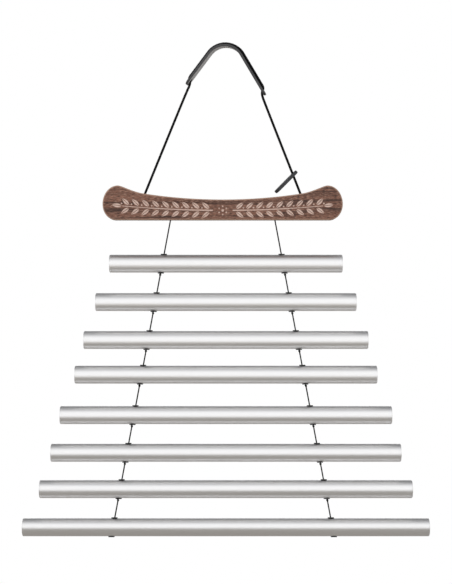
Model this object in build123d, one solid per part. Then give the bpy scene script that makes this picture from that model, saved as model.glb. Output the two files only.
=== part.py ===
from build123d import *

import math
import os

# Hanging chimes: a ladder of eight open aluminium tubes, strung on two thin cords below a
# boat-shaped wooden board. A thicker cord carries the board from a bent leather grip.
# Millimetres, +Z up, +X along the tubes, the player on the -Y side. The origin is the place where
# a hook carries the grip, at the top of its underside.

# Tubes, from the shortest at the top to the longest at the bottom
TUBE_DIAMETER = 20.0
TUBE_WALL = 2.0
TUBE_LENGTHS = (261.0, 292.0, 318.5, 338.5, 371.5, 392.0, 417.4, 455.3)
TUBE_END_ROUND = 1.4  # outer edge of each end
TUBE_BORE_ROUND = 0.4  # inner edge
TUBE_OFFSET = 3.6  # tube's middle, to the right of the middle between its cords
FIRST_TUBE_DROP = 48.7  # board underside to the first tube's axis
TUBE_PITCHES = (43.0, 42.5, 38.8, 45.3, 42.2, 40.7, 42.7)  # axis to axis, going down

# Thin cords that string the tubes, and the knots that carry them
LADDER_CORD_DIAMETER = 1.2
LADDER_TOP_SPAN = 117.0  # between the cords, at the board's underside
LADDER_BOTTOM_SPAN = 245.8  # between the cords, at the lowest tube's axis
LADDER_KNOT_DIAMETER = 3.0
LADDER_KNOT_HEIGHT = 2.6

# Rubber grommets where the cords pass the tube walls
GROMMET_FLANGE_DIAMETER = 7.0
GROMMET_FLANGE_HEIGHT = 1.1
GROMMET_NECK_DIAMETER = 4.4
GROMMET_LIP_DIAMETER = 5.8
GROMMET_LIP_HEIGHT = 0.9

# Wooden board: flat foot, raised rounded ends, long hollow sweep along the top
BOARD_DROP = 194.0  # hook seat to the board's underside
BOARD_OFFSET = 2.6  # hook seat to the board's middle, to the left
BOARD_LENGTH = 268.0
BOARD_THICKNESS = 20.0
BOARD_WAIST_HEIGHT = 22.7
BOARD_SHOULDER_HEIGHT = 29.4  # where the sweep starts to rise to the crest
BOARD_CREST_HEIGHT = 38.4
BOARD_WIDEST_HEIGHT = 17.6
BOARD_FOOT_INSET = 14.3  # board end to the end of the flat foot
BOARD_CREST_INSET = 17.0  # board end to the crest
BOARD_SHOULDER_RUN = 29.0  # crest to the shoulder
BOARD_SHOULDER_EASE = 1.3  # how far the shoulder's curve keeps the sweep's direction
BOARD_CREST_EASE = 0.45  # and how far the crest's
BOARD_EDGE_ROUND = 1.6

# Thicker cord that carries the board
HANGER_CORD_DIAMETER = 2.4
HANGER_SPAN = 174.4  # between its two holes in the board
HANGER_KNOT_DIAMETER = 5.2
HANGER_KNOT_HEIGHT = 4.6
LACE_LEAD = 1.5  # along the leather, from its hole's centre to each bend of the cord
LACE_BEND = 2.6  # bend radius of the cord at each side of a leather hole

# Leather: the grip, bent over the hook, and the tag on the right-hand cord
LEATHER_THICKNESS = 2.7  # of the grip
LEATHER_WIDTH = 16.0
LEATHER_CORNER = 6.5
LEATHER_HOLE_DIAMETER = 5.4
LEATHER_HOLE_INSET = 5.8  # strip end to the hole's centre
GRIP_BEND_RADIUS = 18.7  # underside
GRIP_LEFT_LIMB = 44.2
GRIP_RIGHT_LIMB = 53.4
GRIP_LEFT_LEAN = 37.5  # degrees from upright
GRIP_RIGHT_LEAN = 30.6
GRIP_YAW = 8.0  # degrees, right end towards the player
TAG_LENGTH = 33.6
TAG_THICKNESS = 3.4
TAG_DROOP = 45.0  # degrees below level
TAG_CORD_RUN = 23.0  # along the cord, from the board to the tag's hole

# Clearances
RUBBER_SEAT = 0.05  # grommet to tube
CORD_CLEARANCE = 0.15  # cord to the bore that it passes
TAG_CLEARANCE = 0.08  # tag to the cord that it turns on
KNOT_SEAT = 0.3  # knot to what it bears on
SWING_GAP = 0.3  # between the two ends of cord that meet at a swing point
LACE_GAP = 0.1  # cord to the leather that it runs over
POCKET_CLEARANCE = 0.7  # knot to the side of its pocket
COUNTERSINK = 1.4  # widening of a cord hole's mouth

tube_radius = TUBE_DIAMETER / 2
bore_radius = tube_radius - TUBE_WALL
ladder_radius = LADDER_CORD_DIAMETER / 2
hanger_radius = HANGER_CORD_DIAMETER / 2
board_foot = -BOARD_DROP
board_middle = -BOARD_OFFSET
tube_heights = [board_foot - FIRST_TUBE_DROP]
for pitch in TUBE_PITCHES:
    tube_heights.append(tube_heights[-1] - pitch)
ladder_slope = (LADDER_BOTTOM_SPAN - LADDER_TOP_SPAN) / 2 / (board_foot - tube_heights[-1])
SIDES = (-1, 1)
parts = {}


# Round solids
def column(diameter, x, low, high):
    """Upright round solid at x, from one height to another."""
    return Solid.make_cylinder(diameter / 2, high - low, Plane((x, 0, low)))


def beam(radius, length):
    """Round solid along X, centred on the origin."""
    return Solid.make_cylinder(radius, length, Plane((-length / 2, 0, 0), z_dir=(1, 0, 0)))


def rod(start, direction, diameter, length):
    """Round solid from a point along a direction."""
    return Solid.make_cylinder(diameter / 2, length, Plane(start, z_dir=direction))


def knotted_cord(start, direction, diameter, run, knot_diameter, knot_height, round_start):
    """Cord that ends in a knot: a run of plain cord, then the knot's bead, turned about the cord's line."""
    radius = diameter / 2
    knot_end = run + knot_height
    if round_start:
        nose = [CenterArc((0, 0), radius, 0, -90)]
        tip = (0, -radius)
    else:
        nose = [Line((radius, 0), (0, 0))]
        tip = (0, 0)
    outline = nose + [
        Line((radius, 0), (radius, run)),
        ThreePointArc((radius, run), (knot_diameter / 2, run + knot_height / 2), (radius, knot_end)),
        Line((radius, knot_end), (0, knot_end)),
        Line((0, knot_end), tip),
    ]
    across = Vector(0, 1, 0)
    along = Vector(direction).normalized()
    plane = Plane(start, x_dir=across, z_dir=across.cross(along))
    return revolve(plane * make_face(outline), Axis(start, along))


# Ladder cords: straight, spreading from the board to the lowest tube
def ladder_point(side, z):
    spread = LADDER_TOP_SPAN / 2 + ladder_slope * (board_foot - z)
    return Vector(board_middle + side * spread, 0, z)


def ladder_direction(side):
    return Vector(side * ladder_slope, 0, -1).normalized()


knot_drop = LADDER_KNOT_HEIGHT * ladder_direction(1).dot(Vector(0, 0, -1))
swing_heights = [board_foot]
for height in tube_heights[:-1]:
    knot_top = height - tube_radius - GROMMET_FLANGE_HEIGHT - KNOT_SEAT
    swing_heights.append(knot_top - knot_drop - SWING_GAP - ladder_radius)


# Tubes: open stock with rounded ends, drilled through both walls for each cord
def tube(length, z):
    section = Pos(0, tube_radius - TUBE_WALL / 2) * Rectangle(length, TUBE_WALL)
    outer_corners = section.vertices().group_by(Axis.Y)[-1]
    section = fillet(outer_corners, min(TUBE_END_ROUND, 0.7 * TUBE_WALL))
    inner_corners = section.vertices().group_by(Axis.Y)[0]
    section = fillet(inner_corners, min(TUBE_BORE_ROUND, 0.2 * TUBE_WALL))
    body = Pos(board_middle + TUBE_OFFSET, 0, z) * revolve(section, Axis.X)
    for side in SIDES:
        for wall in SIDES:
            body -= wall_hole(side, wall, z)
    return body


def wall_place(side, wall, z):
    """Where a cord crosses the middle of a tube's upper (1) or lower (-1) wall."""
    return ladder_point(side, z + wall * (tube_radius - TUBE_WALL / 2))


def wall_column(diameter, wall, inner, outer):
    """Upright solid through a wall of a tube along X, between two distances from the tube's axis."""
    low, high = sorted((wall * inner, wall * outer))
    return column(diameter, 0, low, high)


def wall_hole(side, wall, z):
    past_wall = TUBE_WALL / 2
    diameter = GROMMET_NECK_DIAMETER + 2 * RUBBER_SEAT
    hole = wall_column(diameter, wall, bore_radius - past_wall, tube_radius + past_wall)
    return Pos(wall_place(side, wall, z).X, 0, z) * hole


# Grommets: a flange and an inner lip that follow the tube's curve, joined by a neck in the hole.
# The bore slants as the cord does.
def grommet(side, wall):
    flange_top = tube_radius + GROMMET_FLANGE_HEIGHT
    lip_top = bore_radius - GROMMET_LIP_HEIGHT
    reach = 2 * GROMMET_FLANGE_DIAMETER
    flange = wall_column(GROMMET_FLANGE_DIAMETER, wall, 0, reach)
    flange &= beam(flange_top, reach) - beam(tube_radius + RUBBER_SEAT, reach)
    lip = wall_column(GROMMET_LIP_DIAMETER, wall, 0, reach)
    lip &= beam(bore_radius - RUBBER_SEAT, reach) - beam(lip_top, reach)
    neck_inner = bore_radius - GROMMET_LIP_HEIGHT / 2
    neck_outer = tube_radius + GROMMET_FLANGE_HEIGHT / 2
    neck = wall_column(GROMMET_NECK_DIAMETER, wall, neck_inner, neck_outer)
    bore_diameter = LADDER_CORD_DIAMETER + 2 * CORD_CLEARANCE
    bore_middle = Vector(0, 0, wall * (tube_radius - TUBE_WALL / 2))
    bore_start = bore_middle - ladder_direction(side) * reach
    bore = rod(bore_start, ladder_direction(side), bore_diameter, 2 * reach)
    return flange + neck + lip - bore


# One stretch of ladder cord: from its swing point, through the tube, to the knot that carries it.
# The last knots are inside the lowest tube, below its upper grommets.
def ladder_stretch(side, index):
    z = tube_heights[index]
    if index == len(tube_heights) - 1:
        knot_top = z + bore_radius - GROMMET_LIP_HEIGHT - KNOT_SEAT
    else:
        knot_top = z - tube_radius - GROMMET_FLANGE_HEIGHT - KNOT_SEAT
    start = ladder_point(side, swing_heights[index])
    run = (ladder_point(side, knot_top) - start).length
    return knotted_cord(
        start,
        ladder_direction(side),
        LADDER_CORD_DIAMETER,
        run,
        LADDER_KNOT_DIAMETER,
        LADDER_KNOT_HEIGHT,
        True,
    )


grommets = {(side, wall): grommet(side, wall) for side in SIDES for wall in SIDES}


def tube_grommets(z):
    """The four grommets of one tube."""
    return [Pos(wall_place(side, wall, z).X, 0, z) * one for (side, wall), one in grommets.items()]


for number, (length, height) in enumerate(zip(TUBE_LENGTHS, tube_heights), 1):
    parts[f"tube_{number}"] = tube(length, height)
    parts[f"grommets_{number}"] = Compound(tube_grommets(height))
    parts[f"ladder_cord_{number}"] = Compound([ladder_stretch(side, number - 1) for side in SIDES])


# Board outline, in X from its middle and in height above the foot
crest_x = BOARD_LENGTH / 2 - BOARD_CREST_INSET
foot_x = BOARD_LENGTH / 2 - BOARD_FOOT_INSET
shoulder_x = crest_x - BOARD_SHOULDER_RUN
foot = Line((0, 0), (foot_x, 0))
crest_rise = BOARD_CREST_HEIGHT - BOARD_WIDEST_HEIGHT
heel = EllipticalCenterArc(
    (foot_x, BOARD_WIDEST_HEIGHT), BOARD_FOOT_INSET, BOARD_WIDEST_HEIGHT, 270, arc_size=90
)
brow = EllipticalCenterArc((crest_x, BOARD_WIDEST_HEIGHT), BOARD_CREST_INSET, crest_rise, 0, arc_size=90)
sweep_edge = TangentArc((0, BOARD_WAIST_HEIGHT), (shoulder_x, BOARD_SHOULDER_HEIGHT), tangent=(1, 0))
shoulder = Spline(
    sweep_edge @ 1,
    brow @ 1,
    tangents=(sweep_edge % 1, (1, 0)),
    tangent_scalars=(BOARD_SHOULDER_EASE, BOARD_CREST_EASE),
)
right_half = foot + heel + brow + shoulder + sweep_edge
board_face = make_face(right_half + mirror(right_half, Plane.YZ))


def board_top(x):
    """Height of the board's top edge at x from its middle."""
    probe = Line((x, 0), (x, 2 * BOARD_CREST_HEIGHT))
    inside = probe.intersect(board_face)
    return board_foot + max(vertex.Y for vertex in inside.vertices())


hanger_places = [board_middle + side * HANGER_SPAN / 2 for side in SIDES]
ladder_places = [board_middle + side * LADDER_TOP_SPAN / 2 for side in SIDES]
hanger_mouth = board_top(HANGER_SPAN / 2)
ladder_pocket_floor = board_top(LADDER_TOP_SPAN / 2) - LADDER_KNOT_HEIGHT - 2 * KNOT_SEAT
hanger_pocket_roof = board_foot + HANGER_KNOT_HEIGHT + 2 * KNOT_SEAT


# Board: cord holes with widened mouths, and a pocket for each knot
def cord_hole(x, cord_diameter, mouth, mouth_side):
    """Hole through the board at x, widened at its mouth in the top (1) or the foot (-1)."""
    diameter = cord_diameter + 2 * CORD_CLEARANCE
    mouth_plane = Plane((x, 0, mouth + mouth_side * COUNTERSINK), z_dir=(0, 0, -mouth_side))
    wide = diameter / 2 + 2 * COUNTERSINK
    cone = Solid.make_cone(wide, diameter / 2, 2 * COUNTERSINK, mouth_plane)
    return column(diameter, x, board_foot - BOARD_CREST_HEIGHT, board_foot + 2 * BOARD_CREST_HEIGHT) + cone


board = extrude(Plane.XZ * board_face, BOARD_THICKNESS / 2, both=True)
board = Pos(board_middle, 0, board_foot) * board
board_faces = board.faces().sort_by(Axis.Y)
board = fillet(board_faces[0].edges() + board_faces[-1].edges(), BOARD_EDGE_ROUND)
hanger_pocket = HANGER_KNOT_DIAMETER + 2 * POCKET_CLEARANCE
for x in hanger_places:
    board -= cord_hole(x, HANGER_CORD_DIAMETER, hanger_mouth, 1)
    board -= column(hanger_pocket, x, board_foot - BOARD_CREST_HEIGHT, hanger_pocket_roof)
ladder_pocket = LADDER_KNOT_DIAMETER + 2 * POCKET_CLEARANCE
for x in ladder_places:
    board -= cord_hole(x, LADDER_CORD_DIAMETER, board_foot, -1)
    board -= column(ladder_pocket, x, ladder_pocket_floor, board_foot + 2 * BOARD_CREST_HEIGHT)
parts["top_board"] = board


# Ends of both cords inside the board, knotted in their pockets
def board_end(x, start, knot_near, diameter, knot_diameter, knot_height):
    """Upright end of a cord at x, from a height to its knot."""
    direction = Vector(0, 0, math.copysign(1, knot_near - start))
    run = abs(knot_near - start)
    origin = Vector(x, 0, start)
    return knotted_cord(origin, direction, diameter, run, knot_diameter, knot_height, False)


hanger_end_top = hanger_mouth - hanger_radius - SWING_GAP
ladder_end_low = board_foot + ladder_radius + SWING_GAP
parts["hanger_cord_knots"] = Compound(
    [
        board_end(
            x,
            hanger_end_top,
            hanger_pocket_roof - KNOT_SEAT,
            HANGER_CORD_DIAMETER,
            HANGER_KNOT_DIAMETER,
            HANGER_KNOT_HEIGHT,
        )
        for x in hanger_places
    ]
)
parts["ladder_cord_knots"] = Compound(
    [
        board_end(
            x,
            ladder_end_low,
            ladder_pocket_floor + KNOT_SEAT,
            LADDER_CORD_DIAMETER,
            LADDER_KNOT_DIAMETER,
            LADDER_KNOT_HEIGHT,
        )
        for x in ladder_places
    ]
)


# Grip: a strip bent over the hook, its two limbs leaning outwards, a hole near each end
class Limb:
    """Straight limb of the grip on one side, in the strip's own upright plane."""

    def __init__(self, side, lean, length):
        lean = math.radians(lean)
        self.down = Vector(side * math.sin(lean), 0, -math.cos(lean))
        self.out = Vector(side * math.cos(lean), 0, math.sin(lean))
        self.root = Vector(0, 0, -GRIP_BEND_RADIUS) + self.out * GRIP_BEND_RADIUS
        self.length = length

    def at(self, run, lift=0.0):
        """Point a run down the limb, lifted off its underside."""
        return self.root + self.down * run + self.out * lift


left_limb = Limb(-1, GRIP_LEFT_LEAN, GRIP_LEFT_LIMB)
right_limb = Limb(1, GRIP_RIGHT_LEAN, GRIP_RIGHT_LIMB)
limbs = (left_limb, right_limb)


def grip_edge(lift):
    """Edge of the strip's section at a lift off its underside, from the left end to the right."""
    left_root = left_limb.at(0, lift)
    right_root = right_limb.at(0, lift)
    return [
        Line(left_limb.at(GRIP_LEFT_LIMB, lift), left_root),
        ThreePointArc(left_root, (0, 0, lift), right_root),
        Line(right_root, right_limb.at(GRIP_RIGHT_LIMB, lift)),
    ]


section_edges = grip_edge(0) + grip_edge(LEATHER_THICKNESS)
for limb in limbs:
    section_edges.append(Line(limb.at(limb.length), limb.at(limb.length, LEATHER_THICKNESS)))
grip = extrude(make_face(section_edges), LEATHER_WIDTH / 2, dir=(0, 1, 0), both=True)
leather_corner = min(LEATHER_CORNER, 0.45 * LEATHER_WIDTH)
for limb in limbs:
    end_face = grip.faces().sort_by_distance(limb.at(limb.length, LEATHER_THICKNESS / 2))[0]
    corners = end_face.edges().filter_by(Axis((0, 0, 0), limb.out))
    grip = fillet(corners, leather_corner)
for limb in limbs:
    hole_start = limb.at(limb.length - LEATHER_HOLE_INSET, -LEATHER_THICKNESS)
    grip -= rod(hole_start, limb.out, LEATHER_HOLE_DIAMETER, 3 * LEATHER_THICKNESS)
yaw = Rot(0, 0, -GRIP_YAW)
parts["hanger_grip"] = yaw * grip


# Hanger cord: up from the board, through the grip's end hole, over its outer face and down again
lace_under = hanger_radius + 2 * LACE_GAP
lace_over = LEATHER_THICKNESS + hanger_radius + LACE_GAP


def yawed(point):
    return Vector(point).rotate(Axis.Z, -GRIP_YAW)


def lace(limb):
    """Bends of the cord at a limb's hole: below the strip, then above it."""
    hole = limb.length - LEATHER_HOLE_INSET
    return [yawed(limb.at(hole + LACE_LEAD, -lace_under)), yawed(limb.at(hole - LACE_LEAD, lace_over))]


def crown():
    """Where the cord's two straight lines over the limbs would meet, above the bend."""
    start = left_limb.at(0, lace_over)
    other = right_limb.at(0, lace_over)
    rise = (other.X - start.X) * right_limb.down.Z - (other.Z - start.Z) * right_limb.down.X
    turn = left_limb.down.X * right_limb.down.Z - left_limb.down.Z * right_limb.down.X
    return yawed(start + left_limb.down * (rise / turn))


left_mouth = Vector(hanger_places[0], 0, hanger_mouth)
right_mouth = Vector(hanger_places[1], 0, hanger_mouth)
cord_points = [left_mouth] + lace(left_limb) + [crown()] + lace(right_limb)[::-1] + [right_mouth]
cord_bends = [LACE_BEND, LACE_BEND, GRIP_BEND_RADIUS + lace_over, LACE_BEND, LACE_BEND]
cord_line = FilletPolyline(*cord_points, radius=cord_bends)
cord_start = Plane(cord_line @ 0, z_dir=cord_line % 0)
hanger_cord = sweep(cord_start * Circle(hanger_radius), path=cord_line)
for mouth in (left_mouth, right_mouth):
    hanger_cord += Pos(mouth) * Sphere(hanger_radius)
parts["hanger_cord"] = hanger_cord
print("hanger cord length", round(cord_line.length, 2), "bends", cord_bends)
print("volume over section times length", hanger_cord.volume / (math.pi * hanger_radius**2 * cord_line.length))


# Tag: a short strip hanging from its hole on the right-hand cord, in the cord's upright plane
right_run_top = lace(right_limb)[0]
cord_up = (right_run_top - right_mouth).normalized()
inward = Vector(cord_up.X, cord_up.Y, 0).normalized()
droop = math.radians(TAG_DROOP)
tag_hole = right_mouth + cord_up * TAG_CORD_RUN
tag_along = inward * math.cos(droop) + Vector(0, 0, -math.sin(droop))
tag_across = inward.cross(Vector(0, 0, 1))
tag_plane = Plane(
    tag_hole + tag_along * (TAG_LENGTH / 2 - LEATHER_HOLE_INSET),
    x_dir=tag_along,
    z_dir=tag_along.cross(tag_across),
)
tag = extrude(
    tag_plane * RectangleRounded(TAG_LENGTH, LEATHER_WIDTH, leather_corner),
    TAG_THICKNESS / 2,
    both=True,
)
hole_start = tag_hole - cord_up * TAG_LENGTH
tag -= rod(hole_start, cord_up, HANGER_CORD_DIAMETER + 2 * TAG_CLEARANCE, 2 * TAG_LENGTH)
parts["leather_tag"] = tag

os.makedirs("parts", exist_ok=True)
for name, part in parts.items():
    export_step(part, f"parts/{name}.step")
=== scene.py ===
import math

import bmesh
import bpy
from mathutils import Matrix, Vector


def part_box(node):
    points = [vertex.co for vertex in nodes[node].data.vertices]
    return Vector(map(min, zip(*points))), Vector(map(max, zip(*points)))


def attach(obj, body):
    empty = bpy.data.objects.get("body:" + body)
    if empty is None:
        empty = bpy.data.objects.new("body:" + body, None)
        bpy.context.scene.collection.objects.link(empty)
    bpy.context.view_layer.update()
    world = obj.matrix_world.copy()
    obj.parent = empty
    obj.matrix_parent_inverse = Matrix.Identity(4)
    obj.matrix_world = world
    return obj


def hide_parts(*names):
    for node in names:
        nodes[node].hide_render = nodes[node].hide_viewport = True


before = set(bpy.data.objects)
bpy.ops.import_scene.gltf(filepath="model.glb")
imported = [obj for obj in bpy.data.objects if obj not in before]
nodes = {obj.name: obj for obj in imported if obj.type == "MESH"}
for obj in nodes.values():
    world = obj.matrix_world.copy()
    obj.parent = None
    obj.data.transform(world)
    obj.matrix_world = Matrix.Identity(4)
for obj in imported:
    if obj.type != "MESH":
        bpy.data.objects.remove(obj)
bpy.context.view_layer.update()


# Tubes
# Eight lengths of extruded aluminium tube, sawn square, deburred at both ends and drilled through
# for the cords. The satin finish is rubbed along the tube, so fine lines run from end to end.
MM = 0.001
TUBE_COUNT = 8


def colour(red, green, blue):
    """Screen colour from 0 to 255, as the linear colour that a shader takes."""
    shares = [level / 255 for level in (red, green, blue)]
    linear = [s / 12.92 if s <= 0.04045 else ((s + 0.055) / 1.055) ** 2.4 for s in shares]
    return (*linear, 1.0)


def add_node(tree, kind, inputs=None, **settings):
    """New node, with its settings made and each input set to a value or joined to another node's output."""
    node = tree.nodes.new(kind)
    for name, value in settings.items():
        setattr(node, name, value)
    for name, value in (inputs or {}).items():
        if isinstance(value, bpy.types.NodeSocket):
            tree.links.new(value, node.inputs[name])
        else:
            node.inputs[name].default_value = value
    return node


def new_group(name, inputs, output):
    """Shader node group with number inputs and one number output; returns its tree and both end nodes."""
    tree = bpy.data.node_groups.new(name, "ShaderNodeTree")
    for label, value in inputs.items():
        socket = tree.interface.new_socket(label, in_out="INPUT", socket_type="NodeSocketFloat")
        socket.default_value = value
    tree.interface.new_socket(output, in_out="OUTPUT", socket_type="NodeSocketFloat")
    return tree, tree.nodes.new("NodeGroupInput"), tree.nodes.new("NodeGroupOutput")


def lines_group():
    """Streaks that run along X, from 0 to 1, with so many to the metre along and across."""
    inputs = {"Along": 4.0, "Across": 400.0, "Detail": 3.0}
    tree, given, result = new_group("lengthwise_lines", inputs, "Line")
    place = add_node(tree, "ShaderNodeTexCoord")
    stretch = add_node(
        tree,
        "ShaderNodeCombineXYZ",
        {"X": given.outputs["Along"], "Y": given.outputs["Across"], "Z": given.outputs["Across"]},
    )
    scaled = add_node(tree, "ShaderNodeVectorMath", {0: place.outputs["Object"]}, operation="MULTIPLY")
    tree.links.new(stretch.outputs["Vector"], scaled.inputs[1])
    noise = add_node(
        tree,
        "ShaderNodeTexNoise",
        {"Vector": scaled.outputs["Vector"], "Scale": 1.0, "Detail": given.outputs["Detail"]},
    )
    tree.links.new(noise.outputs[0], result.inputs["Line"])
    return tree


def place_group(tree, group, **inputs):
    """Group node in a material, with its own values."""
    node = add_node(tree, "ShaderNodeGroup", node_tree=group)
    for name, value in inputs.items():
        node.inputs[name].default_value = value
    return node.outputs[0]


def spread(tree, value, low, high, from_low=0.3, from_high=0.7):
    """A group's value, drawn out to the range from low to high."""
    ends = {"Value": value, "From Min": from_low, "From Max": from_high, "To Min": low, "To Max": high}
    return add_node(tree, "ShaderNodeMapRange", ends).outputs["Result"]


def blend(tree, share, first, second):
    """Colour between two, by a share from 0 to 1.

    A Mix node's sockets go by number here, because those for numbers and colours have the same names.
    """
    node = add_node(tree, "ShaderNodeMix", data_type="RGBA")
    for socket, value in ((node.inputs[0], share), (node.inputs[6], first), (node.inputs[7], second)):
        if isinstance(value, bpy.types.NodeSocket):
            tree.links.new(value, socket)
        else:
            socket.default_value = value
    return node.outputs[2]


def bump(tree, height, strength, depth, under=None):
    """Normal of a surface that rises with height, over another bump where there is one."""
    inputs = {"Height": height, "Strength": strength, "Distance": depth}
    if under is not None:
        inputs["Normal"] = under
    return add_node(tree, "ShaderNodeBump", inputs).outputs["Normal"]


def new_material(name, **constants):
    """Material and its Principled shader, with the values that are the same all over."""
    material = bpy.data.materials.new(name)
    material.use_nodes = True
    shader = material.node_tree.nodes["Principled BSDF"]
    for label, value in constants.items():
        shader.inputs[label.replace("_", " ").title().replace("Ior", "IOR")].default_value = value
    return material, material.node_tree, shader.inputs


lengthwise_lines = lines_group()


def satin_aluminium():
    """Bare aluminium, rubbed along the tube with fine lines that differ a little in shine."""
    material, tree, shader = new_material("satin_aluminium", metallic=1.0)
    rubbed = place_group(tree, lengthwise_lines, Along=9.0, Across=4200.0, Detail=3.0)
    tone = blend(tree, spread(tree, rubbed, 0.0, 1.0), colour(249, 249, 250), colour(253, 253, 253))
    tree.links.new(tone, shader["Base Color"])
    tree.links.new(spread(tree, rubbed, 0.34, 0.4), shader["Roughness"])
    tree.links.new(bump(tree, rubbed, 0.06, 0.01 * MM), shader["Normal"])
    return material


tube_finish = satin_aluminium()
tube_heights = []
for number in range(1, TUBE_COUNT + 1):
    tube_low, tube_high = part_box(f"tube_{number}")
    tube_heights.append((tube_low.z + tube_high.z) / 2)
    tube = nodes[f"tube_{number}"]
    tube.data.materials.clear()
    tube.data.materials.append(tube_finish)


# Grommets
# A soft black rubber bush in each hole, pushed in from outside: the flange lies on the tube's curve,
# the neck fills the hole, and the lip behind the wall holds it there. The cord slants through its bore.
SIDES = (-1, 1)
TUBE_RADIUS = 10.0 * MM
BORE_RADIUS = 8.0 * MM
LADDER_TOP_SPAN = 117.0 * MM
LADDER_BOTTOM_SPAN = 245.8 * MM
GROMMET_BORE = 0.8 * MM
GROMMET_NECK = 2.2 * MM
GROMMET_LIP = 2.9 * MM
GROMMET_FLANGE = 3.5 * MM
LIP_HEIGHT = 0.9 * MM
FLANGE_HEIGHT = 1.1 * MM
RUBBER_ROUND = 0.4 * MM
RUBBER_SEAT = 0.05 * MM
GROMMET_POINTS = 40

board_low, board_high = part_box("top_board")
board_foot = board_low.z
board_middle = (board_low.x + board_high.x) / 2
ladder_slope = (LADDER_BOTTOM_SPAN - LADDER_TOP_SPAN) / 2 / (board_foot - tube_heights[-1])


def ladder_point(side, height):
    """Point of the left (-1) or right (1) ladder cord at a height."""
    reach = LADDER_TOP_SPAN / 2 + ladder_slope * (board_foot - height)
    return Vector((board_middle + side * reach, 0, height))


def mottle_group():
    """Cloudy unevenness of a surface, from 0 to 1."""
    tree, given, result = new_group("mottle", {"Scale": 200.0, "Detail": 4.0}, "Mottle")
    place = add_node(tree, "ShaderNodeTexCoord")
    noise = add_node(
        tree,
        "ShaderNodeTexNoise",
        {
            "Vector": place.outputs["Object"],
            "Scale": given.outputs["Scale"],
            "Detail": given.outputs["Detail"],
        },
    )
    tree.links.new(noise.outputs[0], result.inputs["Mottle"])
    return tree


mottle = mottle_group()


def black_rubber():
    """Black rubber with a faint grey bloom and a fine moulded skin."""
    material, tree, shader = new_material("black_rubber")
    bloom = place_group(tree, mottle, Scale=500.0)
    skin = place_group(tree, mottle, Scale=4000.0)
    tone = blend(tree, spread(tree, bloom, 0.0, 1.0), colour(22, 22, 23), colour(34, 34, 35))
    tree.links.new(tone, shader["Base Color"])
    tree.links.new(spread(tree, bloom, 0.5, 0.68), shader["Roughness"])
    tree.links.new(bump(tree, skin, 0.25, 0.05 * MM), shader["Normal"])
    return material


def rounded_corner(radius, level, round_out, round_up, size):
    """Three points of a profile's corner, rounded towards the signs given for out and up."""
    middle = size * (1 - math.sqrt(0.5))
    return [
        (radius, level - round_up * size),
        (radius - round_out * middle, level - round_up * middle),
        (radius - round_out * size, level),
    ]


def grommet_profile():
    """Closed outline of a grommet, as radius and distance from the tube's axis."""
    lip_low = BORE_RADIUS - LIP_HEIGHT
    lip_top = BORE_RADIUS - RUBBER_SEAT
    flange_low = TUBE_RADIUS + RUBBER_SEAT
    flange_top = TUBE_RADIUS + FLANGE_HEIGHT
    return [
        (GROMMET_BORE, lip_low),
        *rounded_corner(GROMMET_LIP, lip_low, 1, -1, RUBBER_ROUND)[::-1],
        (GROMMET_LIP, lip_top),
        (GROMMET_NECK, lip_top),
        (GROMMET_NECK, flange_low),
        (GROMMET_FLANGE, flange_low),
        *rounded_corner(GROMMET_FLANGE, flange_top, 1, 1, RUBBER_ROUND),
        *rounded_corner(GROMMET_BORE, flange_top, -1, 1, RUBBER_ROUND)[::-1],
    ]


def add_grommet(shape, side, wall, tube_height):
    """Grommet in the upper (1) or lower (-1) wall: its outline turned round and laid on the tube's curve.

    Its bore slants with the cord, and its outside is square to the tube.
    """
    wall_middle = (TUBE_RADIUS + BORE_RADIUS) / 2
    centre = ladder_point(side, tube_height + wall * wall_middle)
    rings = []
    for step in range(GROMMET_POINTS):
        turn = 2 * math.pi * step / GROMMET_POINTS
        ring = []
        for radius, reach in grommet_profile():
            slant = -side * wall * ladder_slope * (reach - wall_middle)
            share = max(0.0, 1 - (radius - GROMMET_BORE) / RUBBER_ROUND)
            across = radius * math.sin(turn)
            upright = math.sqrt(reach**2 - across**2)
            x = centre.x + radius * math.cos(turn) + slant * share
            ring.append(shape.verts.new((x, across, tube_height + wall * upright)))
        rings.append(ring)
    for ring, following in zip(rings, rings[1:] + rings[:1]):
        for low in range(len(ring)):
            high = (low + 1) % len(ring)
            shape.faces.new((ring[low], following[low], following[high], ring[high]))


def new_piece(name, shape, materials, sharp_angle=40.0):
    """Object from a finished bmesh, smooth but for edges sharper than an angle."""
    bmesh.ops.recalc_face_normals(shape, faces=shape.faces)
    if shape.calc_volume(signed=True) < 0:
        bmesh.ops.reverse_faces(shape, faces=shape.faces)
    mesh = bpy.data.meshes.new(name)
    shape.to_mesh(mesh)
    shape.free()
    for material in materials:
        mesh.materials.append(material)
    mesh.shade_smooth()
    mesh.set_sharp_from_angle(angle=math.radians(sharp_angle))
    piece = bpy.data.objects.new(name, mesh)
    bpy.context.scene.collection.objects.link(piece)
    return piece


rubber = black_rubber()
for number, height in enumerate(tube_heights, 1):
    bush_shape = bmesh.new()
    for side in SIDES:
        for wall in SIDES:
            add_grommet(bush_shape, side, wall, height)
    bushes = new_piece(f"rubber_grommets_{number}", bush_shape, [rubber])
    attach(bushes, f"rung_{number}")
    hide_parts(f"grommets_{number}")


# Ladder cords
# Two thin black braided cords carry all the tubes. Each is threaded down through a tube's bushes
# and knotted under it, so every tube hangs on its own stretch. The last knots are inside the lowest tube.
LADDER_CORD = 1.2 * MM
LADDER_KNOT_HEIGHT = 2.6 * MM
KNOT_SEAT = 0.3 * MM
SWING_GAP = 0.3 * MM
KNOT_LAP = 1.4 * MM
SIDE_NAMES = {-1: "left", 1: "right"}

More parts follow.
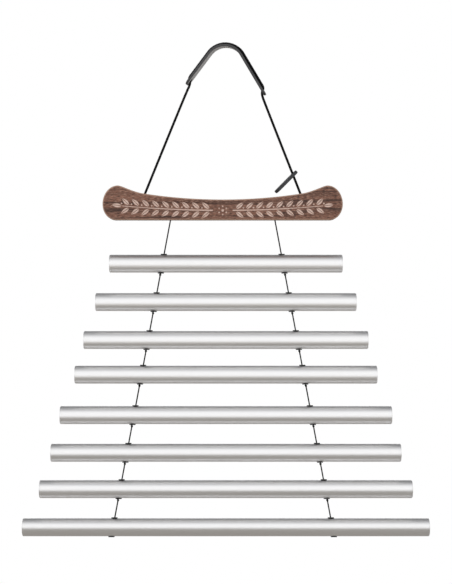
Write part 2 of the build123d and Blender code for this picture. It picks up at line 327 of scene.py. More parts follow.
# The braid is drawn fuller than the cord, because a thin black line against white looks thinner than it is.
LADDER_BRAID = 1.56 * MM
LADDER_STEP = 0.25 * MM
LADDER_RING = 12
BRAID_STRANDS = 4
BRAID_RELIEF = 0.07
BRAID_CREASE = 80.0
SPLINE_STEPS = 48

# Shares of the cord's diameter, but for the counts.
BRAID_PITCH = 5.2
KNOT_TURNS = 3.0
KNOT_SHOULDER = 0.8
KNOT_TIP = 0.42
KNOT_INSET = 0.3
KNOT_CORD = 0.92
KNOT_STEPS = 56
KNOT_RING = 8

# Share of a turn's reach that its tucked end keeps, and how steeply the end goes in.
KNOT_TUCKED = 0.25
KNOT_TUCK = 7.0


def black_braid():
    """Black polyester braid, nearly matt, a little worn in places."""
    material, tree, shader = new_material("black_braid", specular_ior_level=0.12)
    worn = place_group(tree, mottle, Scale=260.0)
    fibre = place_group(tree, mottle, Scale=5000.0)
    tone = blend(tree, spread(tree, worn, 0.0, 1.0), colour(8, 8, 9), colour(17, 17, 18))
    tree.links.new(tone, shader["Base Color"])
    tree.links.new(spread(tree, fibre, 0.55, 0.8), shader["Roughness"])
    tree.links.new(bump(tree, fibre, 0.4, 0.06 * MM), shader["Normal"])
    return material


def spline_points(name, route):
    """Points along the smooth line, a NURBS spline, that has the route's points as its control points."""
    curve = bpy.data.curves.new(name, "CURVE")
    curve.dimensions = "3D"
    curve.resolution_u = SPLINE_STEPS
    spline = curve.splines.new("NURBS")
    spline.points.add(len(route) - 1)
    for control, place in zip(spline.points, route):
        control.co = (*place, 1.0)
    spline.order_u = 3
    spline.use_endpoint_u = True
    guide = bpy.data.objects.new(name, curve)
    bpy.context.scene.collection.objects.link(guide)
    bpy.context.view_layer.update()
    seen = guide.evaluated_get(bpy.context.evaluated_depsgraph_get())
    mesh = bpy.data.meshes.new_from_object(seen)
    points = [vertex.co.copy() for vertex in mesh.vertices]
    bpy.data.meshes.remove(mesh)
    bpy.data.objects.remove(guide)
    return points


def evenly(points, step):
    """The same line with its points a step apart."""
    spaced = [points[0]]
    carried = 0.0
    for here, there in zip(points, points[1:]):
        length = (there - here).length
        reach = step - carried
        while reach <= length:
            spaced.append(here.lerp(there, reach / length))
            reach += step
        carried = length - (reach - step)
    spaced.append(points[-1])
    return spaced


def braid_rise(turn, along):
    """Height of the braid's skin, from 0 to 1: strands wind both ways, over one and under the next."""
    one_way = BRAID_STRANDS * (turn + along)
    other_way = BRAID_STRANDS * (turn - along)
    over = (math.floor(one_way) + math.floor(other_way)) % 2 == 0
    across = (one_way if over else other_way) % 1
    return math.sin(math.pi * across)


def add_braid(shape, points, diameter, ring_points):
    """Braided skin along a line of points, closed at both ends."""
    pitch = BRAID_PITCH * diameter
    radius = diameter / 2
    side_way = (points[1] - points[0]).orthogonal().normalized()
    along = 0.0
    rings = []
    for index, point in enumerate(points):
        before = points[max(index - 1, 0)]
        after = points[min(index + 1, len(points) - 1)]
        forward = (after - before).normalized()
        side_way = (side_way - forward * side_way.dot(forward)).normalized()
        other_way = forward.cross(side_way)
        along += (point - before).length
        ring = []
        for step in range(ring_points):
            turn = step / ring_points
            reach = radius * (1 - BRAID_RELIEF + BRAID_RELIEF * braid_rise(turn, along / pitch))
            angle = 2 * math.pi * turn
            outward = math.cos(angle) * side_way + math.sin(angle) * other_way
            ring.append(shape.verts.new(point + reach * outward))
        rings.append(ring)
    for ring, following in zip(rings, rings[1:]):
        for step in range(ring_points):
            beside = (step + 1) % ring_points
            shape.faces.new((ring[step], ring[beside], following[beside], following[step]))
    for ring in (rings[0], rings[-1]):
        shape.faces.new(ring)


def add_knot(shape, top, direction, diameter, height, ring_points):
    """Stopper knot: turns of the same cord drawn tight round it, wide at the top, their ends tucked in."""
    across = direction.cross(Vector((1, 0, 0))).normalized()
    beside = direction.cross(across)
    inset = KNOT_INSET * diameter
    turns = []
    for step in range(KNOT_STEPS + 1):
        share = step / KNOT_STEPS
        taper = KNOT_SHOULDER + (KNOT_TIP - KNOT_SHOULDER) * share
        tuck = min(1.0, KNOT_TUCK * (1 - share))
        reach = diameter * taper * (KNOT_TUCKED + (1 - KNOT_TUCKED) * tuck)
        angle = 2 * math.pi * KNOT_TURNS * share
        drop = inset + (height - 2 * inset) * share
        turns.append(top + direction * drop + reach * (math.cos(angle) * across + math.sin(angle) * beside))
    add_braid(shape, turns, KNOT_CORD * diameter, ring_points)


cord_finish = black_braid()
ladder_ways = [(ladder_point(side, -1) - ladder_point(side, 0)).normalized() for side in SIDES]
knot_drop = LADDER_KNOT_HEIGHT * -ladder_ways[0].z
swing_heights = [board_foot]
for number, height in enumerate(tube_heights, 1):
    if number < TUBE_COUNT:
        knot_top = height - TUBE_RADIUS - FLANGE_HEIGHT - KNOT_SEAT
    else:
        knot_top = height + BORE_RADIUS - LIP_HEIGHT - KNOT_SEAT
    for side, way in zip(SIDES, ladder_ways):
        name = f"ladder_cord_{number}_{SIDE_NAMES[side]}"
        top = ladder_point(side, swing_heights[-1] + KNOT_LAP)
        foot = ladder_point(side, knot_top - knot_drop)
        cord_line = spline_points(name, [top, top.lerp(foot, 0.5), foot])
        stretch_shape = bmesh.new()
        add_braid(stretch_shape, evenly(cord_line, LADDER_STEP), LADDER_BRAID, LADDER_RING)
        add_knot(stretch_shape, ladder_point(side, knot_top), way, LADDER_CORD, LADDER_KNOT_HEIGHT, KNOT_RING)
        stretch = new_piece(name, stretch_shape, [cord_finish], BRAID_CREASE)
        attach(stretch, f"rung_{number}")
        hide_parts(f"ladder_cord_{number}")
    swing_heights.append(knot_top - knot_drop - SWING_GAP - LADDER_CORD / 2)


# Board
# One piece of dark, close-grained hardwood, sawn to its boat shape, rounded over along both faces
# and oiled. A leaf garland is carved shallow into its front, through the dark finish to the paler wood.
BOARD_FRONT = board_low.y
BOARD_EDGE_ROUND = 1.6 * MM
# Where the painted highlight on the board's rounded edges sets in and fades, as shares of the rounding.
HIGHLIGHT_SETS_IN = (0.01, 0.08)
HIGHLIGHT_FADES = (0.6, 1.2)
WELD = 0.001 * MM
CARVING_DEPTH = 0.5 * MM
CARVING_CREASE = 30.0
GARLAND_START = 11.0 * MM
GARLAND_END = 112.0 * MM
GARLAND_HEIGHT = 10.6 * MM
GARLAND_LIFT = 5.0 * MM
STEM_WIDTH = 1.5 * MM
STEM_TAPER = 0.45
STEM_STEPS = 48
LEAF_PITCH = 11.2 * MM
LEAF_START = 0.35
LEAF_LENGTH = 11.0 * MM
LEAF_WIDTH = 4.4 * MM
LEAF_FULLNESS = 0.8
LEAF_STEPS = 9
LEAF_LEAN = 40.0
LEAF_VEIN = 0.5 * MM
LEAF_GAP = 0.9 * MM
TIP_LEAN = 0.12
BERRY_DIAMETER = 1.9 * MM
BERRY_RUN = 8.2 * MM
BERRY_LIFT = 2.6 * MM
BERRY_POINTS = 20
ROSETTE_HEART = 1.6 * BERRY_DIAMETER
ROSETTE_RADIUS = 4.6 * MM
ROSETTE_PETALS = 6


def reckon(tree, operation, *values):
    """Result of a sum on one or two values."""
    return add_node(tree, "ShaderNodeMath", dict(enumerate(values)), operation=operation).outputs[0]


def edge_highlight_group():
    """Painted highlight on the rounded edges, where light catches them: 0 on the front and back, 1 on the
    rounding round them and a lesser share on the edges.
    """
    tree, given, result = new_group("painted_edge_highlight", {"Face": 10 * MM, "Round": 1.6 * MM, "Edge": 0.25}, "Highlight")
    place = add_node(tree, "ShaderNodeTexCoord")
    split = add_node(tree, "ShaderNodeSeparateXYZ", {0: place.outputs["Object"]})
    depth = reckon(tree, "ABSOLUTE", split.outputs["Y"])
    below = reckon(tree, "SUBTRACT", given.outputs["Face"], depth)
    share = reckon(tree, "DIVIDE", below, given.outputs["Round"])
    rounding = spread(tree, share, 0.0, 1.0, *HIGHLIGHT_SETS_IN)
    edge = spread(tree, share, 1.0, given.outputs["Edge"], *HIGHLIGHT_FADES)
    tree.links.new(reckon(tree, "MULTIPLY", rounding, edge), result.inputs["Highlight"])
    return tree


painted_edge_highlight = edge_highlight_group()


def dark_wood():
    """Oiled hardwood with dark bands, lines and pores along the grain, and a painted highlight on its rounded
    edges.
    """
    oiled = {"specular_ior_level": 0.35, "coat_weight": 0.05, "coat_roughness": 0.35}
    material, tree, shader = new_material("dark_wood", **oiled)
    figure = place_group(tree, lengthwise_lines, Along=6.0, Across=90.0, Detail=3.0)
    streak = place_group(tree, lengthwise_lines, Along=4.0, Across=130.0, Detail=3.0)
    band = place_group(tree, lengthwise_lines, Along=3.0, Across=210.0, Detail=2.0)
    fibre = place_group(tree, lengthwise_lines, Along=210.0, Across=1000.0, Detail=3.0)
    pore = place_group(tree, lengthwise_lines, Along=240.0, Across=1100.0, Detail=2.0)
    ridge = reckon(tree, "ABSOLUTE", reckon(tree, "SUBTRACT", streak, 0.5))
    heart = blend(tree, spread(tree, figure, 0.0, 1.0), colour(97, 62, 48), colour(139, 98, 81))
    banded = blend(tree, spread(tree, band, 0.0, 0.75, 0.52, 0.66), heart, colour(69, 44, 35))
    fleck = blend(tree, spread(tree, fibre, 0.0, 0.8, 0.48, 0.7), banded, colour(176, 140, 122))
    lined = blend(tree, spread(tree, ridge, 0.9, 0.0, 0.0, 0.04), fleck, colour(51, 32, 26))
    pored = blend(tree, spread(tree, pore, 0.0, 0.9, 0.5, 0.66), lined, colour(45, 28, 23))
    # Painted highlight: the rounded edges are blended towards pale wood, as if light caught them.
    edge_highlight = place_group(tree, painted_edge_highlight, Face=-BOARD_FRONT, Round=BOARD_EDGE_ROUND)
    highlighted_wood = blend(tree, spread(tree, edge_highlight, 0.0, 0.7, 0.0, 1.0), pored, colour(190, 155, 135))
    tree.links.new(highlighted_wood, shader["Base Color"])
    tree.links.new(spread(tree, fibre, 0.42, 0.6), shader["Roughness"])
    grain = bump(tree, fibre, 0.15, 0.08 * MM)
    tree.links.new(bump(tree, pore, 0.25, 0.08 * MM, grain), shader["Normal"])
    return material


def carved_wood():
    """Bare paler wood on the walls and the floor of the carving."""
    material, tree, shader = new_material("carved_wood")
    figure = place_group(tree, lengthwise_lines, Along=30.0, Across=500.0, Detail=3.0)
    fibre = place_group(tree, lengthwise_lines, Along=200.0, Across=2600.0, Detail=3.0)
    pale = blend(tree, spread(tree, figure, 0.0, 1.0), colour(208, 182, 169), colour(226, 204, 193))
    tone = blend(tree, spread(tree, fibre, 0.0, 0.4), pale, colour(184, 154, 140))
    tree.links.new(tone, shader["Base Color"])
    tree.links.new(spread(tree, fibre, 0.75, 0.95), shader["Roughness"])
    tree.links.new(bump(tree, fibre, 0.4, 0.1 * MM), shader["Normal"])
    return material


def garland_height(x):
    """Height of the stem above the board's foot: it rises gently to both ends."""
    return GARLAND_HEIGHT + GARLAND_LIFT * (x / GARLAND_END) ** 2


def garland_point(x, above=0.0):
    """Point on the board's front, in X and Z, at or above the stem."""
    return Vector((board_middle + x, board_foot + garland_height(x) + above))


def add_prism(shape, outline):
    """Cutter: an outline in X and Z, from just before the board's face to the carving's floor."""
    loops = []
    for depth in (-CARVING_DEPTH, CARVING_DEPTH):
        loops.append([shape.verts.new((place.x, BOARD_FRONT + depth, place.y)) for place in outline])
    near, far = loops
    shape.faces.new(near)
    shape.faces.new(far)
    for index in range(len(outline)):
        beyond = (index + 1) % len(outline)
        shape.faces.new((near[index], near[beyond], far[beyond], far[index]))


def add_stem(shape, start, end):
    """Cutter for one half of the stem: a row of short prisms joined end to end."""
    rows = []
    for step in range(STEM_STEPS + 1):
        x = start + (end - start) * step / STEM_STEPS
        taper = 1 - STEM_TAPER * step / STEM_STEPS
        half = STEM_WIDTH / 2 * taper
        edges = [garland_point(x, half), garland_point(x, -half)]
        rows.append(
            [
                shape.verts.new((edge.x, BOARD_FRONT + depth, edge.y))
                for depth in (-CARVING_DEPTH, CARVING_DEPTH)
                for edge in edges
            ]
        )
    corners = (0, 1, 3, 2)
    for row, following in zip(rows, rows[1:]):
        for here, there in zip(corners, corners[1:] + corners[:1]):
            shape.faces.new((row[here], row[there], following[there], following[here]))
    for row in (rows[0], rows[-1]):
        shape.faces.new([row[corner] for corner in corners])


def add_leaf(shape, root, angle):
    """Cutter for a pointed leaf in two halves, with the vein left standing between them."""
    way = Vector((math.cos(angle), math.sin(angle)))
    aside = Vector((-way.y, way.x))
    for half in SIDES:
        outline = []
        for step in range(LEAF_STEPS + 1):
            share = step / LEAF_STEPS
            swell = math.sin(math.pi * share**LEAF_FULLNESS)
            rise = LEAF_VEIN / 2 + (LEAF_WIDTH / 2 - LEAF_VEIN / 2) * swell
            outline.append(root + way * LEAF_LENGTH * share + aside * half * rise)
        add_prism(shape, outline)


def add_berry(shape, centre, diameter):
    """Cutter for a round berry."""
    turns = [2 * math.pi * step / BERRY_POINTS for step in range(BERRY_POINTS)]
    add_prism(shape, [centre + Vector((math.cos(t), math.sin(t))) * diameter / 2 for t in turns])


def garland():
    """Cutters for the whole carving: two stems, leaves in pairs, berries between them, and a rosette."""
    shape = bmesh.new()
    pairs = int((GARLAND_END - GARLAND_START) / LEAF_PITCH)
    for side in SIDES:
        add_stem(shape, side * GARLAND_START, side * GARLAND_END)
        for pair in range(pairs):
            x = side * (GARLAND_START + LEAF_PITCH * (pair + LEAF_START))
            slope = 2 * GARLAND_LIFT * x / GARLAND_END**2
            climb = math.atan2(slope * side, 1)
            outward = climb if side > 0 else math.pi - climb
            for up in SIDES:
                lean = up * side * math.radians(LEAF_LEAN)
                add_leaf(shape, garland_point(x, up * (STEM_WIDTH / 2 + LEAF_GAP)), outward + lean)
            add_berry(shape, garland_point(x + side * BERRY_RUN, BERRY_LIFT), BERRY_DIAMETER)
        tip = garland_point(side * (GARLAND_END + LEAF_GAP))
        add_leaf(shape, tip, TIP_LEAN if side > 0 else math.pi - TIP_LEAN)
    middle = garland_point(0)
    add_berry(shape, middle, ROSETTE_HEART)
    for petal in range(ROSETTE_PETALS):
        turn = math.radians(360 * petal / ROSETTE_PETALS)
        way = Vector((math.sin(turn), math.cos(turn)))
        add_berry(shape, middle + way * ROSETTE_RADIUS, BERRY_DIAMETER)
    return shape


board_shape = bmesh.new()
board_shape.from_mesh(nodes["top_board"].data)
bmesh.ops.remove_doubles(board_shape, verts=board_shape.verts, dist=WELD)
board = new_piece("carved_board", board_shape, [dark_wood()])
cutter = new_piece("garland_cutter", garland(), [carved_wood()])
carving = board.modifiers.new("carving", "BOOLEAN")
carving.operation = "DIFFERENCE"
carving.solver = "EXACT"
carving.material_mode = "TRANSFER"
carving.object = cutter
bpy.context.view_layer.update()
board_seen = board.evaluated_get(bpy.context.evaluated_depsgraph_get())
carved_mesh = bpy.data.meshes.new_from_object(board_seen)
board.modifiers.clear()
board.data = carved_mesh
bpy.data.objects.remove(cutter)
carved_mesh.set_sharp_from_angle(angle=math.radians(CARVING_CREASE))
flat_faces = board.modifiers.new("flat_faces", "WEIGHTED_NORMAL")
flat_faces.keep_sharp = True
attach(board, "board")
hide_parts("top_board")


# Cord ends in the board
# The hanger cord comes down through the board and is knotted in a pocket in the foot. The ladder cords
# come up through it and are knotted in smaller pockets in the top edge.
HANGER_CORD = 2.4 * MM
HANGER_SPAN = 174.4 * MM
HANGER_MOUTH = -164.72 * MM
HANGER_KNOT_HEIGHT = 4.6 * MM
LADDER_POCKET = -171.55 * MM
END_STEP = 0.2
HANGER_END_RING = 12
LADDER_END_RING = 10


def add_board_end(shape, x, start, knot_near, diameter, knot_height, ring_points):
    """Upright end of a cord, with its knot in the pocket and a short tail past it."""
    way = Vector((0, 0, math.copysign(1, knot_near - start)))
    knot_at = Vector((x, 0, knot_near))
    tail = knot_at + way * knot_height
    first = Vector((x, 0, start))
    line = spline_points("board_end", [first, first.lerp(tail, 0.5), tail])
    add_braid(shape, evenly(line, END_STEP * diameter), diameter, ring_points)
    add_knot(shape, knot_at, way, diameter, knot_height, ring_points)


hanger_ends = bmesh.new()
ladder_ends = bmesh.new()
for side in SIDES:
    hanger_x = board_middle + side * HANGER_SPAN / 2
    hanger_knot = board_foot + HANGER_KNOT_HEIGHT + KNOT_SEAT
    hanger_sizes = (HANGER_CORD, HANGER_KNOT_HEIGHT, HANGER_END_RING)
    add_board_end(hanger_ends, hanger_x, HANGER_MOUTH, hanger_knot, *hanger_sizes)
    ladder_x = board_middle + side * LADDER_TOP_SPAN / 2
    ladder_knot = LADDER_POCKET + KNOT_SEAT
    ladder_sizes = (LADDER_CORD, LADDER_KNOT_HEIGHT, LADDER_END_RING)
    add_board_end(ladder_ends, ladder_x, board_foot, ladder_knot, *ladder_sizes)
for name, shape, node in (
    ("hanger_cord_ends", hanger_ends, "hanger_cord_knots"),
    ("ladder_cord_ends", ladder_ends, "ladder_cord_knots"),
):
    ends = new_piece(name, shape, [cord_finish], BRAID_CREASE)
    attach(ends, "board")
    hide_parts(node)


# Hanger cord
# One thicker black braided cord: up from the board, out through the hole in one end of the grip,
# over the grip's outer face, in through the other hole and down to the board.
HANGER_ROUTE = (
    (-89.8, 0.0, -164.7),
    (-44.4, 4.8, -52.0),
    (-38.4, 5.4, -39.8),
    (-40.9, 5.7, -34.2),
    (-36.8, 5.2, -28.8),
    (-22.0, 3.1, -9.4),
    (-15.4, 2.1, -0.7),
    (-4.5, 0.6, 4.3),
    (7.4, -1.0, 3.5),
    (17.6, -2.5, -2.8),
    (23.1, -3.2, -12.0),
    (40.1, -5.6, -41.1),
    (43.5, -6.1, -46.8),
    (40.4, -5.7, -52.2),
    (44.8, -4.9, -64.4),
    (84.6, 0.0, -164.7),
)
HANGER_BRAID = 2.85 * MM
HANGER_STEP = 0.36 * MM
HANGER_RING = 16

hanger_route = [Vector(place) * MM for place in HANGER_ROUTE]
hanger_line = spline_points("hanger_line", hanger_route)
hanger_shape = bmesh.new()
add_braid(hanger_shape, evenly(hanger_line, HANGER_STEP), HANGER_BRAID, HANGER_RING)
hanger_cord = new_piece("braided_hanger_cord", hanger_shape, [cord_finish], BRAID_CREASE)
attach(hanger_cord, "hanger")
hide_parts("hanger_cord")


# Leather grip
# A strip of thick black leather, cut with rounded ends and punched near each end, bent over the hook
# or the hand. The grain side is outermost, the cut edges are burnished, and the flesh side is paler and matt;
# its pale grey is partly the flesh's own tone and partly painted sheen, the light that the inner face
# catches.
LEATHER_THICKNESS = 2.7 * MM
LEATHER_WIDTH = 16.0 * MM
LEATHER_CORNER = 6.5 * MM
LEATHER_EDGE = 0.7 * MM
LEATHER_PIECE = 2.0 * MM
LEATHER_CREASE = 50.0
LEATHER_HOLE = 5.4 * MM
LEATHER_HOLE_INSET = 5.8 * MM
GRIP_BEND_RADIUS = 20.3 * MM
GRIP_LEFT_LIMB = 43.4 * MM
GRIP_RIGHT_LIMB = 52.5 * MM
GRIP_LEFT_LEAN = math.radians(37.5)
GRIP_RIGHT_LEAN = math.radians(30.6)
GRIP_YAW = math.radians(8.0)
FLESH, EDGE, GRAIN = range(3)


def leather(name, dark, light, rough_low, rough_high, crease):
    """Leather of a tone between two, with creases of a strength."""
    material, tree, shader = new_material(name)
    place = add_node(tree, "ShaderNodeTexCoord")
    cell = add_node(
        tree,
        "ShaderNodeTexVoronoi",
        {"Vector": place.outputs["Object"], "Scale": 1100.0},
        feature="DISTANCE_TO_EDGE",
    )
    worn = place_group(tree, mottle, Scale=120.0)
    pore = place_group(tree, mottle, Scale=3500.0)
    tree.links.new(blend(tree, spread(tree, worn, 0.0, 1.0), dark, light), shader["Base Color"])
    tree.links.new(spread(tree, pore, rough_low, rough_high), shader["Roughness"])
    pores = bump(tree, pore, crease / 2, 0.08 * MM)
    tree.links.new(bump(tree, cell.outputs["Distance"], crease, 0.1 * MM, pores), shader["Normal"])
    return material


def plate_loops(length, width, corner, inset, level):
    """Rounded rectangle, drawn in by an inset, at a level of the plate's thickness."""
    steps = 10
    places = []
    for along, across, start in ((1, 1, 0), (0, 1, 90), (0, 0, 180), (1, 0, 270)):
        centre_x = length - corner if along else corner
        centre_y = (width / 2 - corner) * (1 if across else -1)
        for step in range(steps + 1):
            turn = math.radians(start + 90 * step / steps)
            reach = corner - inset
            x = centre_x + reach * math.cos(turn)
            y = centre_y + reach * math.sin(turn)
            places.append(Vector((x, y, level)))
    return places


def hole_loops(centre, diameter, lean, middle, inset, level):
    """Round hole, widened by an inset, that leans along the plate as it goes up."""
    steps = 28
    radius = diameter / 2 + inset
    reach = radius * math.hypot(1, lean)
    shifted = centre + lean * (level - middle)
    turns = [2 * math.pi * step / steps for step in range(steps)]
    return [Vector((shifted + reach * math.cos(t), radius * math.sin(t), level)) for t in turns]


def leather_plate(length, thickness, holes):
    """Flat strip with rounded ends and softened edges; a hole is its centre, diameter and lean."""
    shape = bmesh.new()
    steps = 4
    levels = []
    for step in range(steps + 1):
        turn = math.radians(90 * step / steps)
        levels.append((LEATHER_EDGE * (1 - math.sin(turn)), LEATHER_EDGE * (1 - math.cos(turn))))
    levels += [(inset, thickness - level) for inset, level in levels[::-1]]
    walls = [[plate_loops(length, LEATHER_WIDTH, LEATHER_CORNER, *place) for place in levels]]
    walls += [[hole_loops(*hole, thickness / 2, *place) for place in levels] for hole in holes]
    caps = ([], [])
    for wall in walls:
        rings = [[shape.verts.new(place) for place in ring] for ring in wall]
        for ring, following in zip(rings, rings[1:]):
            for index in range(len(ring)):
                beyond = (index + 1) % len(ring)
                face = shape.faces.new((ring[index], ring[beyond], following[beyond], following[index]))
                face.material_index = EDGE
        for cap, ring in zip(caps, (rings[0], rings[-1])):
            cap += [shape.edges.get((ring[index - 1], ring[index])) for index in range(len(ring))]
    for cap, finish in zip(caps, (FLESH, GRAIN)):
        filled = bmesh.ops.triangle_fill(shape, edges=cap, use_beauty=True)
        for face in filled["geom"]:
            if isinstance(face, bmesh.types.BMFace):
                face.material_index = finish
    cuts = int(length / LEATHER_PIECE)
    for cut in range(1, cuts):
        everything = shape.verts[:] + shape.edges[:] + shape.faces[:]
        place = Vector((length * cut / cuts, 0, 0))
        bmesh.ops.bisect_plane(shape, geom=everything, plane_co=place, plane_no=(1, 0, 0), dist=WELD)
    return shape


grip_turn = math.pi - GRIP_LEFT_LEAN - GRIP_RIGHT_LEAN
grip_bend = grip_turn * GRIP_BEND_RADIUS
grip_length = GRIP_LEFT_LIMB + grip_bend + GRIP_RIGHT_LIMB


def bent(place):
    """Point of the flat strip, given along its underside, across it and up, carried over the bend."""
    run = min(max(place.x - GRIP_LEFT_LIMB, 0.0), grip_bend)
    turn = math.pi - GRIP_LEFT_LEAN - run / GRIP_BEND_RADIUS
    reach = GRIP_BEND_RADIUS + place.z
    past = place.x - GRIP_LEFT_LIMB - run
    x = reach * math.cos(turn) + past * math.sin(turn)
    z = reach * math.sin(turn) - past * math.cos(turn) - GRIP_BEND_RADIUS
    return Vector((x, place.y, z))


leather_sides = [
    # The flesh side's pale grey is partly the flesh's own paler tone and partly painted sheen.
    leather("leather_flesh_and_sheen", colour(166, 166, 167), colour(190, 190, 191), 0.75, 0.92, 0.35),
    leather("leather_edge", colour(50, 50, 52), colour(66, 66, 68), 0.45, 0.65, 0.15),
    leather("leather_grain", colour(34, 34, 36), colour(46, 46, 48), 0.38, 0.55, 0.5),
]
hole_places = (LEATHER_HOLE_INSET, grip_length - LEATHER_HOLE_INSET)
grip_holes = [(place, LEATHER_HOLE, 0.0) for place in hole_places]
grip_shape = leather_plate(grip_length, LEATHER_THICKNESS, grip_holes)
grip_yaw = Matrix.Rotation(-GRIP_YAW, 3, "Z")
for vertex in grip_shape.verts:
    vertex.co = grip_yaw @ bent(vertex.co)
grip = new_piece("leather_grip", grip_shape, leather_sides, LEATHER_CREASE)
grip_faces = grip.modifiers.new("flat_faces", "WEIGHTED_NORMAL")
grip_faces.keep_sharp = True
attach(grip, "hanger")
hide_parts("hanger_grip")


# Leather tag
# A short strip of the same leather, threaded on the right-hand side of the hanger cord through a tight
# hole. It hangs from the cord above the board and turns round it.
TAG_LENGTH = 33.6 * MM
TAG_THICKNESS = 3.4 * MM
TAG_DROOP = math.radians(45.0)
TAG_CORD_RUN = 23.0 * MM
TAG_HOLE = 2.95 * MM

# Where the cord leaves the grip's right-hand hole for its straight run down to the board.
RIGHT_LACE = Vector((39.5, -5.55, -52.16)) * MM

cord_up = (RIGHT_LACE - hanger_route[-1]).normalized()
inward = Vector((cord_up.x, cord_up.y, 0)).normalized()
tag_along = inward * math.cos(TAG_DROOP) - Vector((0, 0, math.sin(TAG_DROOP)))
tag_across = inward.cross(Vector((0, 0, 1)))
tag_up = tag_along.cross(tag_across)
tag_lean = cord_up.dot(tag_along) / cord_up.dot(tag_up)
tag_shape = leather_plate(TAG_LENGTH, TAG_THICKNESS, [(LEATHER_HOLE_INSET, TAG_HOLE, tag_lean)])
tag_place = hanger_route[-1] + cord_up * TAG_CORD_RUN
for vertex in tag_shape.verts:
    run = vertex.co.x - LEATHER_HOLE_INSET
    lift = vertex.co.z - TAG_THICKNESS / 2
    vertex.co = tag_place + tag_along * run + tag_across * vertex.co.y + tag_up * lift
tag_edge = leather("tag_edge", colour(38, 39, 42), colour(50, 51, 55), 0.5, 0.7, 0.15)
tag_sides = [leather_sides[GRAIN], tag_edge, leather_sides[GRAIN]]
tag = new_piece("leather_tag_strip", tag_shape, tag_sides, LEATHER_CREASE)
tag_faces = tag.modifiers.new("flat_faces", "WEIGHTED_NORMAL")
tag_faces.keep_sharp = True
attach(tag, "tag")
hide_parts("leather_tag")


# Studio
# White all round, a pale floor below the hanging part, soft lamps, and two cards that show only in what
# mirrors them: one overhead, lighter towards the viewer, and a grey one close under the lowest tube.
# The camera is level, square to the part's front.
CAMERA_DISTANCE = 1.85
CAMERA_X = 0.0011
CAMERA_HEIGHT = -0.2744
CAMERA_LENS = 101.8
CAMERA_SENSOR = 36.0
CAMERA_REACH = 50.0
SOFT_LIGHT = 0.42
FLOOR_HEIGHT = -1.3
FLOOR_RADIUS = 3.2
FLOOR_CENTRE = 0.7
FLOOR_POINTS = 128
CARD_HEIGHT = 0.9
CARD_FRONT = -1.4
CARD_BACK = 3.0
LOW_CARD_HEIGHT = -0.57
LOW_CARD_FRONT = -0.32
LOW_CARD_BACK = 0.32
CARD_HALF_WIDTH = 3.0

# Stops of the overhead card's fade: share of the way from its front to its back, and level.
CARD_FADE = ((0.018, 0.95), (0.168, 0.62), (0.277, 0.38), (0.393, 0.28), (0.677, 0.15))
CARD_END = (0.09, 0.09, 0.094, 1)
CARD_BLUE = 1.01

# Name, place, size and power of each lamp. All of them aim at the part's middle.
AIM = Vector((0, 0, -0.28))
LAMPS = (
    ("key_lamp", (-1.5, -2.6, 1.2), 1.8, 46.0),
    ("fill_lamp", (1.9, -2.3, 0.2), 1.8, 18.0),
    ("back_lamp", (0.4, 1.8, 1.3), 1.6, 14.0),
)


def studio_world():
    """White to the camera and in mirrors, and a soft light on everything else."""
    world = bpy.data.worlds.new("studio")
    bpy.context.scene.world = world
    world.use_nodes = True
    tree = world.node_tree
    tree.nodes.clear()
    path = add_node(tree, "ShaderNodeLightPath")
    seen = reckon(tree, "MAXIMUM", path.outputs["Is Camera Ray"], path.outputs["Is Glossy Ray"])
    shown = reckon(tree, "MAXIMUM", seen, path.outputs["Is Transmission Ray"])
    white = add_node(tree, "ShaderNodeBackground", {"Color": (1, 1, 1, 1), "Strength": 1.0})
    soft = add_node(tree, "ShaderNodeBackground", {"Color": (1, 1, 1, 1), "Strength": SOFT_LIGHT})
    mixed = add_node(tree, "ShaderNodeMixShader", {0: shown, 1: soft.outputs[0], 2: white.outputs[0]})
    add_node(tree, "ShaderNodeOutputWorld", {"Surface": mixed.outputs[0]})


def pale_floor():
    """Pale matt floor, very slightly clouded."""
    material, tree, shader = new_material("pale_floor", specular_ior_level=0.0)
    cloud = place_group(tree, mottle, Scale=3.0)
    tree.links.new(blend(tree, cloud, colour(204, 199, 193), colour(208, 203, 197)), shader["Base Color"])
    tree.links.new(spread(tree, cloud, 0.85, 0.95), shader["Roughness"])
    return material


def glowing_material(name, **constants):
    """Material that only gives light."""
    black = (0, 0, 0, 1)
    return new_material(name, base_color=black, specular_ior_level=0.0, emission_strength=1.0, **constants)


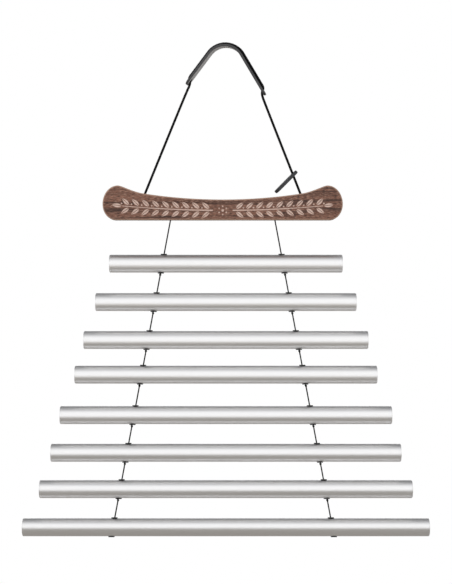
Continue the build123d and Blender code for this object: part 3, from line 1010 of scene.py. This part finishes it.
def fading_card():
    """Card that glows from light grey at its front to darker grey at its back."""
    material, tree, shader = glowing_material("fading_card")
    place = add_node(tree, "ShaderNodeTexCoord")
    split = add_node(tree, "ShaderNodeSeparateXYZ", {0: place.outputs["Object"]})
    share = spread(tree, split.outputs["Y"], 0.0, 1.0, CARD_FRONT, CARD_BACK)
    fade = add_node(tree, "ShaderNodeValToRGB", {0: share})
    stops = fade.color_ramp.elements
    stops.remove(stops[0])
    stops[0].position = 1.0
    stops[0].color = CARD_END
    for position, level in CARD_FADE:
        stops.new(position).color = (level, level, level * CARD_BLUE, 1)
    tree.links.new(fade.outputs["Color"], shader["Emission Color"])
    return material


def grey_card():
    """Card that glows in one warm grey all over."""
    return glowing_material("grey_card", emission_color=colour(149, 145, 140))[0]


def add_card(name, front, back, height, material):
    """Level card that shows only in what mirrors it."""
    shape = bmesh.new()
    corners = [
        (-CARD_HALF_WIDTH, front, height),
        (CARD_HALF_WIDTH, front, height),
        (CARD_HALF_WIDTH, back, height),
        (-CARD_HALF_WIDTH, back, height),
    ]
    shape.faces.new([shape.verts.new(corner) for corner in corners])
    card = new_piece(name, shape, [material])
    card.visible_camera = False
    card.visible_diffuse = False
    card.visible_transmission = False
    card.visible_shadow = False


studio_world()
floor_shape = bmesh.new()
floor_place = Matrix.Translation((0, FLOOR_CENTRE, FLOOR_HEIGHT))
floor_sizes = {"segments": FLOOR_POINTS, "radius": FLOOR_RADIUS, "matrix": floor_place}
bmesh.ops.create_circle(floor_shape, cap_ends=True, **floor_sizes)
floor = new_piece("studio_floor", floor_shape, [pale_floor()])

add_card("overhead_card", CARD_FRONT, CARD_BACK, CARD_HEIGHT, fading_card())
add_card("low_card", LOW_CARD_FRONT, LOW_CARD_BACK, LOW_CARD_HEIGHT, grey_card())

for name, place, size, power in LAMPS:
    light = bpy.data.lights.new(name, "AREA")
    light.shape = "SQUARE"
    light.size = size
    light.energy = power
    lamp = bpy.data.objects.new(name, light)
    lamp.location = place
    lamp.rotation_euler = (AIM - lamp.location).to_track_quat("-Z", "Y").to_euler()
    lamp.visible_glossy = False
    bpy.context.scene.collection.objects.link(lamp)

camera_data = bpy.data.cameras.new("camera")
camera_data.lens = CAMERA_LENS
camera_data.sensor_width = CAMERA_SENSOR
camera_data.clip_end = CAMERA_REACH
camera = bpy.data.objects.new("camera", camera_data)
camera.location = (CAMERA_X, -CAMERA_DISTANCE, CAMERA_HEIGHT)
camera.rotation_euler = (math.radians(90), 0, 0)
bpy.context.scene.collection.objects.link(camera)
bpy.context.scene.camera = camera
bpy.context.scene.view_settings.view_transform = "Standard"

bpy.context.view_layer.update()
